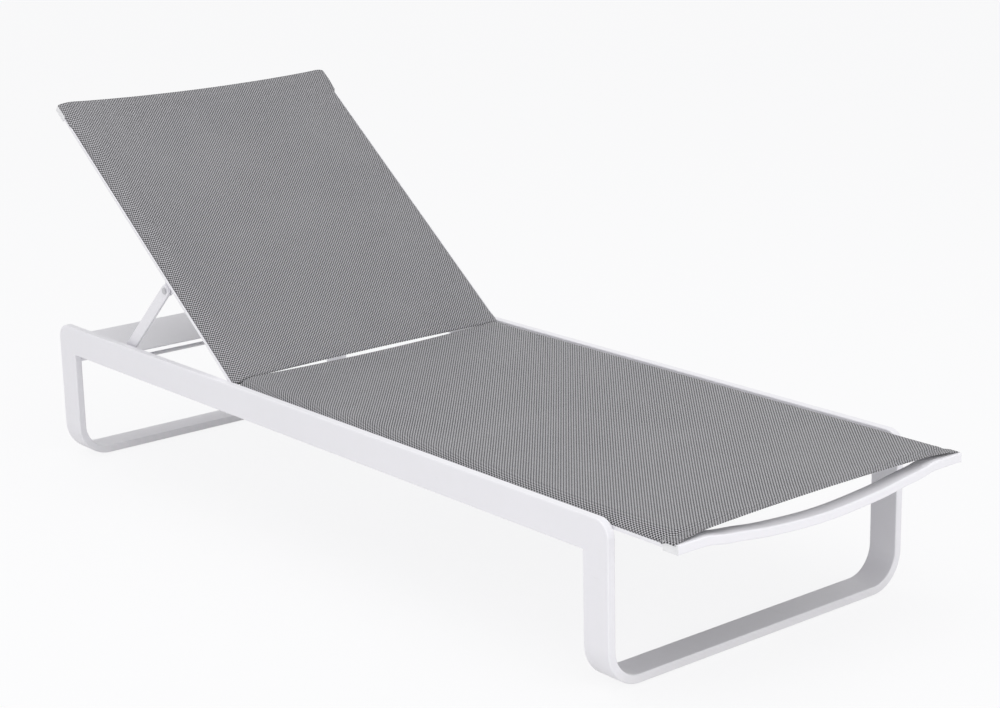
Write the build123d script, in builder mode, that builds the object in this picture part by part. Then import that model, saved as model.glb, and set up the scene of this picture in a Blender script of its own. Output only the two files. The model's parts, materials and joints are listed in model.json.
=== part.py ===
from build123d import *

import math
import os

os.makedirs("parts", exist_ok=True)

# Sun lounger, millimetres. +X points to the foot end, +Y to the lounger's left,
# +Z up. The floor is Z = 0 and the origin is under the middle of the lounger.

# Overall sizes
leg_span = 1728.0
foot_overhang = 140.0
frame_width = 705.0
rail_top = 293.0
back_angle = 37.6
back_length = 780.0
hinge_from_rear = 646.5

# Flat tube of the side rails and the leg loops
tube_depth = 60.0
tube_thickness = 16.0
tube_wall = 2.0
tube_edge_radius = 2.5
top_corner_radius = 30.0
bend_radius = 70.0

# Foot pads
pad_height = 3.0
pad_diameter = 34.0
pad_edge_radius = 1.0
pad_inset = 84.0
pad_stem_diameter = 8.0
pad_stem_length = 8.0
pad_stem_clearance = 0.1

# Crowned tube at the sides of the two slings
sling_gap = 1.5
sling_tube_rise = 4.6
sling_tube_height = 22.0
sling_tube_width = 45.0
sling_tube_wall = 2.0
sling_tube_edge_radius = 1.5
crown_radius = 38.0
crown_run = 35.0
hinge_height = 5.4
seat_tube_gap = 16.0
back_tube_gap = 10.0

# Groove and edge cord that hold the fabric
cord_diameter = 3.0
cord_clearance = 0.2
cord_inset = 3.3
cord_height = 3.2
groove_mouth = 1.8
groove_wall = 1.5
ledge_height = 6.0

# Fabric
fabric_thickness = 1.5
fabric_clearance = 0.3
hem_setback = 7.0
hem_bow = 13.0
back_hem_bow = 12.0
seat_hem_from_hinge = 11.0
back_hem_from_hinge = 2.5
seat_inner_hem_bow = 14.0
back_inner_hem_bow = 5.5
hem_edge_inset = 2.0

# Bowed crossbars at the foot and the head
bar_depth = 34.0
bar_thickness = 16.6
bar_wall = 2.0
bar_drop = 4.1
bar_bow = 26.0
bar_edge_radius = 3.0
bar_end_run = 55.0
bar_shape_shares = (
    (0.849, 0.769),
    (0.699, 0.577),
    (0.541, 0.346),
    (0.384, 0.192),
    (0.226, 0.077),
)
plug_depth = 12.0
plug_clearance = 0.1
plug_lip = 1.6
bar_plug_lip = 0.6

# Spreader tubes
spreader_diameter = 16.0
spreader_wall = 1.5
seat_spreader_rear_reach = 110.0
seat_spreader_front_reach = 640.0
back_spreader_reach = 110.0

# Brackets and bolts that carry the seat tubes on the rails
bolt_diameter = 5.0
bolt_head_diameter = 10.0
bolt_head_height = 3.0
bolt_clearance = 0.1
bolt_reach = 3.0
seat_bracket_shares = (0.12, 0.5, 0.88)
seat_bracket_sheet = 3.0
seat_bracket_length = 40.0
seat_bracket_width = 38.0
seat_bracket_drop = 26.0
seat_bracket_bolt_inset = 26.0

# Hinge of the backrest
hinge_plate_thickness = 4.0
hinge_plate_length = 76.0
hinge_pad_start = 26.0
hinge_pin_diameter = 8.0
hinge_head_diameter = 13.0
hinge_head_height = 2.6
running_gap = 0.4
pin_clearance = 0.05
hinge_screw_diameter = 5.0
hinge_screw_head_diameter = 8.5
hinge_screw_head_height = 1.8
hinge_screw_shares = (0.5, 0.84)

# Prop: pivots under the back tubes, flat struts and a foot rod
pivot_reach = 286.6
pivot_drop = 35.1
rod_from_rear = 209.0
rod_level = 247.0
rod_diameter = 8.0
rod_end_gap = 2.5
strut_width = 25.0
strut_thickness = 6.0
strut_inset = 10.0
strut_edge_chamfer = 0.6
washer_thickness = 1.0
washer_diameter = 16.0
washer_clearance = 0.2
pivot_pin_diameter = 8.0
pivot_head_diameter = 13.0
pivot_head_height = 2.6
bracket_web = 4.0
bracket_flange = 3.0
bracket_flange_width = 26.0
bracket_length = 56.0
bracket_nose_diameter = 23.0
rivet_diameter = 4.8
rivet_head_diameter = 9.0
rivet_head_height = 1.6
rivet_clearance = 0.1
bracket_rivet_spacing = 36.0

# Notched racks on the rails' inner faces
rack_thickness = 6.5
rack_start = 76.0
rack_end = 398.0
rack_lift = 0.5
rod_lift = 1.7
rack_stop_length = 8.0
rack_stop_height = 11.0
notch_spacing = 52.0
notch_offsets = (-1, 0, 1, 2, 3)
notch_clearance = 0.4
rack_rivet_diameter = 4.0
rack_rivet_shares = (0.06, 0.36, 0.68, 0.96)
rack_rivet_reach = 1.5

# Rear cross plate
plate_start = 12.0
plate_length = 209.0
plate_drop = 29.0
plate_sheet = 2.0
plate_wing_length = 62.0
plate_wing_setback = 24.0
plate_end_fold = 20.0
plate_screw_shares = (0.6, 0.88)

overrun = 5.0

# Places that follow from the sizes
total_length = leg_span + foot_overhang
rear_x = -total_length / 2
front_x = rear_x + leg_span
foot_x = rear_x + total_length
half_width = frame_width / 2
rail_inside = half_width - tube_thickness
sling_outside = rail_inside - sling_gap
sling_inside = sling_outside - sling_tube_width
hinge_x = rear_x + hinge_from_rear
tube_top_z = rail_top + sling_tube_rise
tube_bottom_z = tube_top_z - sling_tube_height
hinge_z = tube_bottom_z + hinge_height
tube_low = -hinge_height
tube_high = sling_tube_height - hinge_height
crest_y = sling_outside - crown_run
crown_centre = tube_high - crown_radius
cord_y = sling_outside - cord_inset
cord_n = cord_height - hinge_height
cord_bore = cord_diameter / 2 + cord_clearance
body_y = cord_y - groove_mouth / 2
ledge_n = ledge_height - hinge_height
bar_high = tube_low - bar_drop + bar_thickness
angle = math.radians(back_angle)
along = Vector(math.cos(angle), 0, -math.sin(angle))
hinge_point = Vector(hinge_x, 0, hinge_z)
floor_to_rung = pad_height

# Layers of the hinge and of the prop, measured from the middle plane
seat_plate_outer = sling_inside
seat_plate_inner = seat_plate_outer - hinge_plate_thickness
back_plate_outer = seat_plate_inner - running_gap
back_plate_inner = back_plate_outer - hinge_plate_thickness
strut_outer = rail_inside - strut_inset
strut_inner = strut_outer - strut_thickness
web_outer = strut_inner - washer_thickness - 2 * washer_clearance
web_inner = web_outer - bracket_web
rack_inner = rail_inside - rack_thickness
rod_half = rail_inside - rod_end_gap
rack_bottom = rail_top - tube_depth + rack_lift
rack_top = rod_level - rod_diameter / 2 - rod_lift
plate_top = rail_top - plate_drop


def seat_section(x):
    """Plane across the seat at x: its x axis is Y and its y axis is Z."""
    return Plane(origin=(x, 0, hinge_z), x_dir=(0, 1, 0), z_dir=(1, 0, 0))


def back_section(reach):
    """Plane across the backrest at a distance from the hinge."""
    return Plane(origin=hinge_point - along * reach, x_dir=(0, 1, 0), z_dir=along)


def seat_side(y):
    """Plane along the seat at y, with its origin on the hinge axis."""
    return Plane(origin=hinge_point + Vector(0, y, 0), x_dir=(1, 0, 0), z_dir=(0, -1, 0))


def back_side(y):
    """Plane along the backrest at y: its x axis points down the back."""
    return Plane(origin=hinge_point + Vector(0, y, 0), x_dir=along, z_dir=(0, -1, 0))


def side_plane(y):
    """World XZ plane at y, looking along +Y."""
    return Plane(origin=(0, y, 0), x_dir=(1, 0, 0), z_dir=(0, -1, 0))


def save(part, name):
    part.label = name
    export_step(part, "parts/" + name + ".step")


def save_pair(left_part, name):
    """Write a left piece and its mirror image for the right side."""
    save(left_part, name + "_left")
    with BuildPart() as right:
        mirror(left_part, about=Plane.XZ)
    save(right.part, name + "_right")


def crown_level(y, radius):
    """Height of the crown arc of this radius above the hinge line."""
    return crown_centre + math.sqrt(radius**2 - (y - crest_y) ** 2)


def side_frame_outline(grow, points):
    """Sketch of a side profile cut to the rounded outline of the side frame."""
    with BuildLine() as outline:
        Polyline(*points, close=True)
    make_face(outline.edges())
    with Locations(((rear_x + front_x) / 2, 0)):
        RectangleRounded(
            leg_span + 2 * grow,
            2 * (rail_top + grow),
            top_corner_radius + grow,
            mode=Mode.INTERSECT,
        )


# Side rails: flat tubes with mitred ends, open towards the legs
def rail_points(inset):
    high = rail_top - inset
    low = rail_top - tube_depth + inset
    return (
        (rear_x + inset, high),
        (front_x - inset, high),
        (front_x - tube_depth + inset, low),
        (rear_x + tube_depth - inset, low),
    )


seat_end_x = foot_x - bar_depth
seat_start_x = hinge_x + seat_tube_gap
bolt_stretch = front_x - tube_depth - hinge_x
bracket_xs = [hinge_x + share * bolt_stretch for share in seat_bracket_shares]
rail_bolt_z = tube_bottom_z - (seat_bracket_sheet + seat_bracket_drop) / 2
tube_bolt_y = rail_inside - seat_bracket_bolt_inset
rack_xs = [rear_x + rack_start + share * (rack_end - rack_start) for share in rack_rivet_shares]
rack_rivet_z = (rack_bottom + rack_top) / 2 - notch_clearance
plate_xs = [rear_x + plate_start + share * plate_wing_length for share in plate_screw_shares]
plate_screw_z = plate_top - plate_end_fold / 2

with BuildPart() as rail:
    with BuildSketch(side_plane(half_width)):
        side_frame_outline(0, rail_points(0))
    extrude(amount=tube_thickness)
    long_edges = rail.edges().filter_by(Axis.X)
    fillet(long_edges, radius=tube_edge_radius)
    with BuildSketch(side_plane(half_width - tube_wall)):
        side_frame_outline(-tube_wall, rail_points(tube_wall))
    extrude(amount=tube_thickness - 2 * tube_wall, mode=Mode.SUBTRACT)
    wall_plane = side_plane(rail_inside + tube_wall + overrun / 2)
    with BuildSketch(wall_plane):
        with Locations(*[(x, rail_bolt_z) for x in bracket_xs]):
            Circle(bolt_diameter / 2 + bolt_clearance)
        with Locations(*[(x, rack_rivet_z) for x in rack_xs]):
            Circle(rack_rivet_diameter / 2 + rivet_clearance)
        with Locations(*[(x, plate_screw_z) for x in plate_xs]):
            Circle(bolt_diameter / 2 + bolt_clearance)
    extrude(amount=tube_wall + overrun, mode=Mode.SUBTRACT)
save_pair(rail.part, "side_rail")


# Leg loops: the same tube bent on the flat into a U, mitred at the top
def loop_points(outer_x, inward, inset):
    near_x = outer_x + inward * inset
    far_x = outer_x + inward * (tube_depth - inset)
    return (
        (near_x, -overrun),
        (far_x, -overrun),
        (far_x, rail_top - tube_depth + inset),
        (near_x, rail_top - inset),
    )


def loop_sketch(inset):
    """U outline of the loop as a ring that runs on above the rails."""
    bottom = floor_to_rung + inset
    height = 2 * rail_top
    with Locations((0, bottom + height / 2)):
        RectangleRounded(frame_width - 2 * inset, height, bend_radius - inset)
    inner_inset = tube_thickness - inset
    bottom = floor_to_rung + inner_inset
    with Locations((0, bottom + height / 2)):
        RectangleRounded(
            frame_width - 2 * inner_inset, height, bend_radius - inner_inset, mode=Mode.SUBTRACT
        )


def leg_loop(outer_x, inward):
    start_x = min(outer_x, outer_x + inward * tube_depth)
    with BuildPart() as core:
        with BuildSketch(Plane.YZ.offset(start_x + tube_wall)):
            loop_sketch(tube_wall)
        extrude(amount=tube_depth - 2 * tube_wall)
        with BuildSketch(side_plane(half_width)):
            side_frame_outline(-tube_wall, loop_points(outer_x, inward, tube_wall))
        extrude(amount=frame_width, mode=Mode.INTERSECT)
    with BuildPart() as loop:
        with BuildSketch(Plane.YZ.offset(start_x)):
            loop_sketch(0)
        extrude(amount=tube_depth)
        with BuildSketch(side_plane(half_width)):
            side_frame_outline(0, loop_points(outer_x, inward, 0))
        extrude(amount=frame_width, mode=Mode.INTERSECT)
        rims = loop.edges().filter_by(lambda edge: edge.geom_type == GeomType.CIRCLE)
        rims = rims.filter_by(lambda edge: edge.center().Z < rail_top / 2)
        fillet(rims, radius=tube_edge_radius)
        add(core.part, mode=Mode.SUBTRACT)
        with BuildSketch(Plane.XY):
            with Locations(*[(outer_x + inward * tube_depth / 2, y) for y in pad_ys]):
                Circle(pad_stem_diameter / 2 + pad_stem_clearance)
        extrude(amount=floor_to_rung + tube_wall + overrun / 2, mode=Mode.SUBTRACT)
    return loop.part


pad_ys = (half_width - pad_inset, pad_inset - half_width)
save(leg_loop(rear_x, 1), "rear_leg_loop")
save(leg_loop(front_x, -1), "front_leg_loop")


# Foot pads: discs with a stem pushed through the rung's lower wall
def foot_pad(x, y):
    with BuildPart() as pad:
        with BuildSketch(Plane.XY):
            with Locations((x, y)):
                Circle(pad_diameter / 2)
        extrude(amount=pad_height)
        rim = pad.edges().sort_by(Axis.Z)[0]
        chamfer(rim, length=pad_edge_radius)
        with BuildSketch(Plane.XY.offset(pad_height)):
            with Locations((x, y)):
                Circle(pad_stem_diameter / 2)
        extrude(amount=pad_stem_length)
    return pad.part


for leg_name, leg_x in (
    ("rear", rear_x + tube_depth / 2),
    ("front", front_x - tube_depth / 2),
):
    save_pair(foot_pad(leg_x, half_width - pad_inset), leg_name + "_foot_pad")

# Rear crossbar: a flat tube between the rear leg's posts, under the rails
crossbar_top = rail_top - tube_depth
with BuildPart() as rear_crossbar:
    with BuildSketch(side_plane(rail_inside)):
        with Locations((rear_x + tube_depth / 2, crossbar_top - tube_thickness / 2)):
            Rectangle(tube_depth, tube_thickness)
    extrude(amount=2 * rail_inside)
    fillet(rear_crossbar.edges().filter_by(Axis.Y), radius=tube_edge_radius)
    with BuildSketch(side_plane(rail_inside)):
        with Locations((rear_x + tube_depth / 2, crossbar_top - tube_thickness / 2)):
            Rectangle(tube_depth - 2 * tube_wall, tube_thickness - 2 * tube_wall)
    extrude(amount=2 * rail_inside, mode=Mode.SUBTRACT)
save(rear_crossbar.part, "rear_crossbar")


# Crowned tube of the sling frames
def tube_outline():
    """Left tube section: a crowned body and a low ledge along its outer side."""
    mid_y = (sling_inside + body_y) / 2
    with BuildLine() as outline:
        Polyline(
            (sling_inside, crown_level(sling_inside, crown_radius)),
            (sling_inside, tube_low),
            (sling_outside, tube_low),
            (sling_outside, ledge_n),
            (body_y, ledge_n),
            (body_y, crown_level(body_y, crown_radius)),
        )
        ThreePointArc(
            (body_y, crown_level(body_y, crown_radius)),
            (mid_y, crown_level(mid_y, crown_radius)),
            (sling_inside, crown_level(sling_inside, crown_radius)),
        )
    make_face(outline.edges())


def tube_cavity():
    """Hollow of the tube, kept clear of the cord's groove."""
    radius = crown_radius - sling_tube_wall
    inner_y = sling_inside + sling_tube_wall
    outer_y = cord_y - cord_bore - groove_wall
    floor_n = tube_low + sling_tube_wall
    mid_y = (inner_y + outer_y) / 2
    with BuildLine() as outline:
        Polyline(
            (inner_y, crown_level(inner_y, radius)),
            (inner_y, floor_n),
            (outer_y, floor_n),
            (outer_y, crown_level(outer_y, radius)),
        )
        ThreePointArc(
            (outer_y, crown_level(outer_y, radius)),
            (mid_y, crown_level(mid_y, radius)),
            (inner_y, crown_level(inner_y, radius)),
        )
    make_face(outline.edges())


def cord_groove():
    """Round bore of the edge cord with its narrow mouth in the ledge."""
    with Locations((cord_y, cord_n)):
        Circle(cord_bore)
    mouth_height = ledge_n - cord_n + overrun
    with Locations((cord_y, cord_n + mouth_height / 2)):
        Rectangle(groove_mouth, mouth_height)


def sling_tube(section, length):
    with BuildPart() as tube:
        with BuildSketch(section):
            tube_outline()
        extrude(amount=length)
        long_edges = tube.edges().filter_by(Axis(section.origin, section.z_dir))
        low_edges = long_edges.sort_by(Axis(section.origin, section.y_dir))[:2]
        fillet(low_edges, radius=sling_tube_edge_radius)
        with BuildSketch(section):
            tube_cavity()
        extrude(amount=length, mode=Mode.SUBTRACT)
        with BuildSketch(section):
            cord_groove()
        extrude(amount=length, mode=Mode.SUBTRACT)
    return tube.part


seat_tube_length = seat_end_x - seat_start_x
back_tube_top = back_length - bar_depth
back_tube_length = back_tube_top - back_tube_gap
bracket_rivet_y = web_inner - bracket_flange_width / 2
bracket_rivet_reaches = (
    pivot_reach - bracket_rivet_spacing / 2,
    pivot_reach + bracket_rivet_spacing / 2,
)
hinge_screw_reaches = [share * hinge_plate_length for share in hinge_screw_shares]

with BuildPart() as seat_tube:
    add(sling_tube(seat_section(seat_start_x), seat_tube_length))
    with BuildSketch(Plane.XY.offset(tube_bottom_z - overrun / 2)):
        with Locations(*[(x, tube_bolt_y) for x in bracket_xs]):
            Circle(bolt_diameter / 2 + bolt_clearance)
    extrude(amount=sling_tube_wall + overrun, mode=Mode.SUBTRACT)
    with BuildSketch(seat_side(sling_inside + sling_tube_wall + overrun / 2)):
        with Locations(*[(reach, 0) for reach in hinge_screw_reaches]):
            Circle(hinge_screw_diameter / 2 + bolt_clearance)
    extrude(amount=sling_tube_wall + overrun, mode=Mode.SUBTRACT)
save_pair(seat_tube.part, "seat_tube")

with BuildPart() as back_tube:
    add(sling_tube(back_section(back_tube_top), back_tube_length))
    with BuildSketch(back_side(sling_inside + sling_tube_wall + overrun / 2)):
        with Locations(*[(-reach, 0) for reach in hinge_screw_reaches]):
            Circle(hinge_screw_diameter / 2 + bolt_clearance)
    extrude(amount=sling_tube_wall + overrun, mode=Mode.SUBTRACT)
    under = Plane(
        origin=hinge_point + back_section(0).y_dir * (tube_low - overrun / 2),
        x_dir=-along,
        z_dir=back_section(0).y_dir,
    )
    with BuildSketch(under):
        with Locations(*[(reach, -bracket_rivet_y) for reach in bracket_rivet_reaches]):
            Circle(rivet_diameter / 2 + rivet_clearance)
    extrude(amount=sling_tube_wall + overrun, mode=Mode.SUBTRACT)
save_pair(back_tube.part, "back_tube")


# Edge cords in the grooves
def edge_cord(section, length):
    with BuildPart() as cord:
        with BuildSketch(section):
            with Locations((cord_y, cord_n)):
                Circle(cord_diameter / 2)
        extrude(amount=length)
    return cord.part


save_pair(edge_cord(seat_section(seat_start_x), seat_tube_length), "seat_edge_cord")
save_pair(edge_cord(back_section(back_tube_top), back_tube_length), "back_edge_cord")


# Plugs in the ends of the sling tubes at the hinge
def tube_end_plug(section, outward):
    with BuildPart() as plug:
        with BuildSketch(section):
            tube_cavity()
            offset(amount=-plug_clearance, mode=Mode.REPLACE)
        extrude(amount=-outward * plug_depth)
        with BuildSketch(section):
            tube_outline()
            offset(amount=-sling_tube_wall / 2, mode=Mode.REPLACE)
            cord_mouth_y = cord_y - cord_bore
            with Locations((cord_mouth_y + sling_tube_width / 2, cord_n)):
                Rectangle(sling_tube_width, sling_tube_height, mode=Mode.SUBTRACT)
        extrude(amount=outward * plug_lip)
    return plug.part


save_pair(tube_end_plug(seat_section(seat_start_x), -1), "seat_tube_plug")
save_pair(tube_end_plug(back_section(back_tube_gap), 1), "back_tube_plug")


# Bowed crossbars
def bow_line(level):
    """Closed side of the bar's bowed outline at this level."""
    flat_y = sling_outside - bar_end_run
    right = [(-flat_y * y_share, level - bar_bow * (1 - n_share)) for y_share, n_share in bar_shape_shares]
    left = [(flat_y * y_share, level - bar_bow * (1 - n_share)) for y_share, n_share in bar_shape_shares]
    points = [(-flat_y, level)] + right + [(0, level - bar_bow)] + left[::-1] + [(flat_y, level)]
    return points


def bar_outline(inset):
    low = tube_low - bar_drop + inset
    high = bar_high - inset
    flat_y = sling_outside - bar_end_run
    with BuildLine() as outline:
        Spline(*bow_line(low), tangents=[(1, 0), (1, 0)])
        Spline(*bow_line(high), tangents=[(1, 0), (1, 0)])
        Polyline((flat_y, low), (sling_outside, low), (sling_outside, high), (flat_y, high))
        Polyline((-flat_y, low), (-sling_outside, low), (-sling_outside, high), (-flat_y, high))
    make_face(outline.edges())


def crossbar(section, inner_section):
    with BuildPart() as bar:
        with BuildSketch(section):
            bar_outline(0)
        extrude(amount=bar_depth)
        long_edges = bar.edges().group_by(Axis(section.origin, section.z_dir))
        rims = long_edges[0] + long_edges[-1]
        rims = rims.filter_by(lambda edge: abs(edge.center().Y) < sling_outside - bar_end_run / 4)
        fillet(rims, radius=bar_edge_radius)
        with BuildSketch(inner_section):
            bar_outline(bar_wall)
        extrude(amount=bar_depth - 2 * bar_wall, mode=Mode.SUBTRACT)
    return bar.part


save(
    crossbar(seat_section(seat_end_x), seat_section(seat_end_x + bar_wall)),
    "foot_crossbar",
)
save(
    crossbar(back_section(back_length), back_section(back_length - bar_wall)),
    "head_crossbar",
)


# Plugs in the crossbars' ends
def bar_plug(section):
    """Plug of the left end: a stem inside the tube and a thin lip outside."""
    mid_n = (tube_low - bar_drop + bar_high) / 2
    stem_height = bar_thickness - 2 * bar_wall - 2 * plug_clearance
    stem_depth = bar_depth - 2 * bar_wall - 2 * plug_clearance
    with BuildPart() as plug:
        with BuildSketch(section):
            with Locations((sling_outside - plug_depth / 2, mid_n)):
                Rectangle(plug_depth, stem_height)
        extrude(amount=stem_depth / 2, both=True)
        lip_height = bar_thickness - 2 * plug_clearance
        lip_depth = bar_depth - 2 * plug_clearance
        with BuildSketch(section):
            with Locations((sling_outside + bar_plug_lip / 2, mid_n)):
                Rectangle(bar_plug_lip, lip_height)
        extrude(amount=lip_depth / 2, both=True)
    return plug.part


save_pair(bar_plug(seat_section(foot_x - bar_depth / 2)), "foot_bar_plug")
save_pair(bar_plug(back_section(back_length - bar_depth / 2)), "head_bar_plug")


# Spreader tubes between the sling tubes
def spreader(plane):
    with BuildPart() as tube:
        with BuildSketch(plane):
            Circle(spreader_diameter / 2)
            Circle(spreader_diameter / 2 - spreader_wall, mode=Mode.SUBTRACT)
        extrude(amount=2 * sling_inside)
    return tube.part


for index, reach in enumerate((seat_spreader_rear_reach, seat_spreader_front_reach)):
    start = hinge_point + Vector(reach, sling_inside, 0)
    save(spreader(Plane(origin=start, x_dir=(1, 0, 0), z_dir=(0, -1, 0))), f"seat_spreader_{index + 1}")
start = hinge_point - along * back_spreader_reach + Vector(0, sling_inside, 0)
save(spreader(Plane(origin=start, x_dir=along, z_dir=(0, -1, 0))), "back_spreader")

# Brackets under the seat tubes, with a leg against the rail
with BuildPart() as seat_brackets:
    for side in (1, -1):
        for x in bracket_xs:
            start_x = x - seat_bracket_length / 2
            with BuildSketch(Plane.YZ.offset(start_x)):
                leg_y = side * (rail_inside - seat_bracket_sheet / 2)
                with Locations((leg_y, tube_bottom_z - seat_bracket_drop / 2)):
                    Rectangle(seat_bracket_sheet, seat_bracket_drop)
                flange_y = side * (rail_inside - seat_bracket_width / 2)
                with Locations((flange_y, tube_bottom_z - seat_bracket_sheet / 2)):
                    Rectangle(seat_bracket_width, seat_bracket_sheet)
            extrude(amount=seat_bracket_length)
    with BuildSketch(Plane.XY.offset(tube_bottom_z - seat_bracket_sheet - overrun / 2)):
        with Locations(*[(x, side * tube_bolt_y) for side in (1, -1) for x in bracket_xs]):
            Circle(bolt_diameter / 2 + bolt_clearance)
    extrude(amount=seat_bracket_sheet + overrun, mode=Mode.SUBTRACT)
    with BuildSketch(side_plane(rail_inside + overrun)):
        with Locations(*[(x, rail_bolt_z) for x in bracket_xs]):
            Circle(bolt_diameter / 2 + bolt_clearance)
    extrude(amount=2 * rail_inside + 2 * overrun, mode=Mode.SUBTRACT)
save(seat_brackets.part, "seat_brackets")

with BuildPart() as seat_bolts:
    for side in (1, -1):
        for x in bracket_xs:
            head = Vector(x, side * (rail_inside - seat_bracket_sheet), rail_bolt_z)
            with BuildSketch(Plane(origin=head, z_dir=(0, side, 0))):
                Circle(bolt_diameter / 2)
            extrude(amount=seat_bracket_sheet + tube_wall + bolt_reach)
            with BuildSketch(Plane(origin=head, z_dir=(0, -side, 0))):
                Circle(bolt_head_diameter / 2)
            extrude(amount=bolt_head_height)
            head = Vector(x, side * tube_bolt_y, tube_bottom_z - seat_bracket_sheet)
            with BuildSketch(Plane(origin=head, z_dir=(0, 0, 1))):
                Circle(bolt_diameter / 2)
            extrude(amount=seat_bracket_sheet + sling_tube_wall + bolt_reach)
            with BuildSketch(Plane(origin=head, z_dir=(0, 0, -1))):
                Circle(bolt_head_diameter / 2)
            extrude(amount=bolt_head_height)
save(seat_bolts.part, "seat_bolts")


# Hinge plates: the seat's plate lies against the tube, the back's plate inside it
def plate_bar(plane, reach, thickness):
    """Round-ended bar from the hinge axis, with the pin's and screws' holes."""
    sign = math.copysign(1, reach)
    with BuildSketch(plane) as outline:
        with Locations((reach / 2, 0)):
            Rectangle(abs(reach), 2 * hinge_height)
        Circle(hinge_height)
        Circle(hinge_pin_diameter / 2 + pin_clearance, mode=Mode.SUBTRACT)
        with Locations(*[(sign * place, 0) for place in hinge_screw_reaches]):
            Circle(hinge_screw_diameter / 2 + bolt_clearance, mode=Mode.SUBTRACT)
    extrude(outline.sketch, amount=thickness)


with BuildPart() as seat_hinge_plate:
    plate_bar(seat_side(seat_plate_outer), hinge_plate_length, hinge_plate_thickness)
save_pair(seat_hinge_plate.part, "seat_hinge_plate")

with BuildPart() as back_hinge_plate:
    plate_bar(back_side(back_plate_outer), -hinge_plate_length, hinge_plate_thickness)
    with BuildSketch(back_side(sling_inside)):
        pad_length = hinge_plate_length - hinge_pad_start
        with Locations((-(hinge_pad_start + pad_length / 2), 0)):
            Rectangle(pad_length, 2 * hinge_height)
        with Locations(*[(-place, 0) for place in hinge_screw_reaches]):
            Circle(hinge_screw_diameter / 2 + bolt_clearance, mode=Mode.SUBTRACT)
    extrude(amount=sling_inside - back_plate_outer)
save_pair(back_hinge_plate.part, "back_hinge_plate")

# Hinge pins with a head at each end
pin_start = back_plate_inner - running_gap / 2
pin_end = seat_plate_outer + running_gap / 2
with BuildPart() as hinge_pin:
    with BuildSketch(seat_side(pin_end)):
        Circle(hinge_pin_diameter / 2)
    extrude(amount=pin_end - pin_start)
    with BuildSketch(seat_side(pin_end + hinge_head_height)):
        Circle(hinge_head_diameter / 2)
    extrude(amount=hinge_head_height)
    with BuildSketch(seat_side(pin_start)):
        Circle(hinge_head_diameter / 2)
    extrude(amount=hinge_head_height)
save_pair(hinge_pin.part, "hinge_pin")


# Screws of the hinge plates
def hinge_screws(side_of, direction, head_y):
    for side in (1, -1):
        for place in hinge_screw_reaches:
            plane = side_of(side * head_y)
            centre = plane.origin + plane.x_dir * (direction * place)
            with BuildSketch(Plane(origin=centre, z_dir=(0, side, 0))) as shank:
                Circle(hinge_screw_diameter / 2)
            shank_length = sling_inside - head_y + sling_tube_wall + bolt_reach
            extrude(shank.sketch, amount=shank_length)
            with BuildSketch(Plane(origin=centre, z_dir=(0, -side, 0))) as head:
                Circle(hinge_screw_head_diameter / 2)
            extrude(head.sketch, amount=hinge_screw_head_height)


with BuildPart() as seat_hinge_screws:
    hinge_screws(seat_side, 1, seat_plate_inner)
save(seat_hinge_screws.part, "seat_hinge_screws")

with BuildPart() as back_hinge_screws:
    hinge_screws(back_side, -1, back_plate_inner)
save(back_hinge_screws.part, "back_hinge_screws")

# Prop brackets: a flange under the back tube and a web that carries the pivot
with BuildPart() as prop_bracket:
    with BuildSketch(back_side(web_outer)):
        with BuildLine():
            Polyline(
                (-pivot_reach - bracket_length / 2, tube_low),
                (-pivot_reach + bracket_length / 2, tube_low),
                (-pivot_reach + bracket_length / 2, tube_low - bracket_flange),
                (-pivot_reach + bracket_nose_diameter / 2, -pivot_drop),
                (-pivot_reach - bracket_nose_diameter / 2, -pivot_drop),
                (-pivot_reach - bracket_length / 2, tube_low - bracket_flange),
                close=True,
            )
        make_face()
        with Locations((-pivot_reach, -pivot_drop)):
            Circle(bracket_nose_diameter / 2)
            Circle(pivot_pin_diameter / 2 + pin_clearance, mode=Mode.SUBTRACT)
    extrude(amount=bracket_web)
    with BuildSketch(back_side(web_inner)):
        with Locations((-pivot_reach, tube_low - bracket_flange / 2)):
            Rectangle(bracket_length, bracket_flange)
    extrude(amount=bracket_flange_width)
    with BuildSketch(under.offset(-bracket_flange)):
        with Locations(*[(reach, -bracket_rivet_y) for reach in bracket_rivet_reaches]):
            Circle(rivet_diameter / 2 + rivet_clearance)
    extrude(amount=bracket_flange + overrun, mode=Mode.SUBTRACT)
save_pair(prop_bracket.part, "prop_bracket")

with BuildPart() as bracket_rivets:
    normal = back_section(0).y_dir
    for side in (1, -1):
        for reach in bracket_rivet_reaches:
            foot = hinge_point - along * reach + Vector(0, side * bracket_rivet_y, 0)
            foot = foot + normal * (tube_low - bracket_flange)
            with BuildSketch(Plane(origin=foot, z_dir=normal)):
                Circle(rivet_diameter / 2)
            extrude(amount=bracket_flange + sling_tube_wall + rivet_head_height)
            with BuildSketch(Plane(origin=foot, z_dir=-normal)):
                Circle(rivet_head_diameter / 2)
            extrude(amount=rivet_head_height)
save(bracket_rivets.part, "bracket_rivets")

# Prop: struts, rod, pivot pins and washers
pivot = hinge_point - along * pivot_reach - back_section(0).y_dir * pivot_drop
rod_centre = Vector(rear_x + rod_from_rear, 0, rod_level)
strut_run = rod_centre - pivot
strut_length = strut_run.length


def strut_side(y):
    """Plane along the strut at y: origin on the pivot, x axis to the rod."""
    return Plane(origin=pivot + Vector(0, y, 0), x_dir=strut_run, z_dir=(0, -1, 0))


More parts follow.
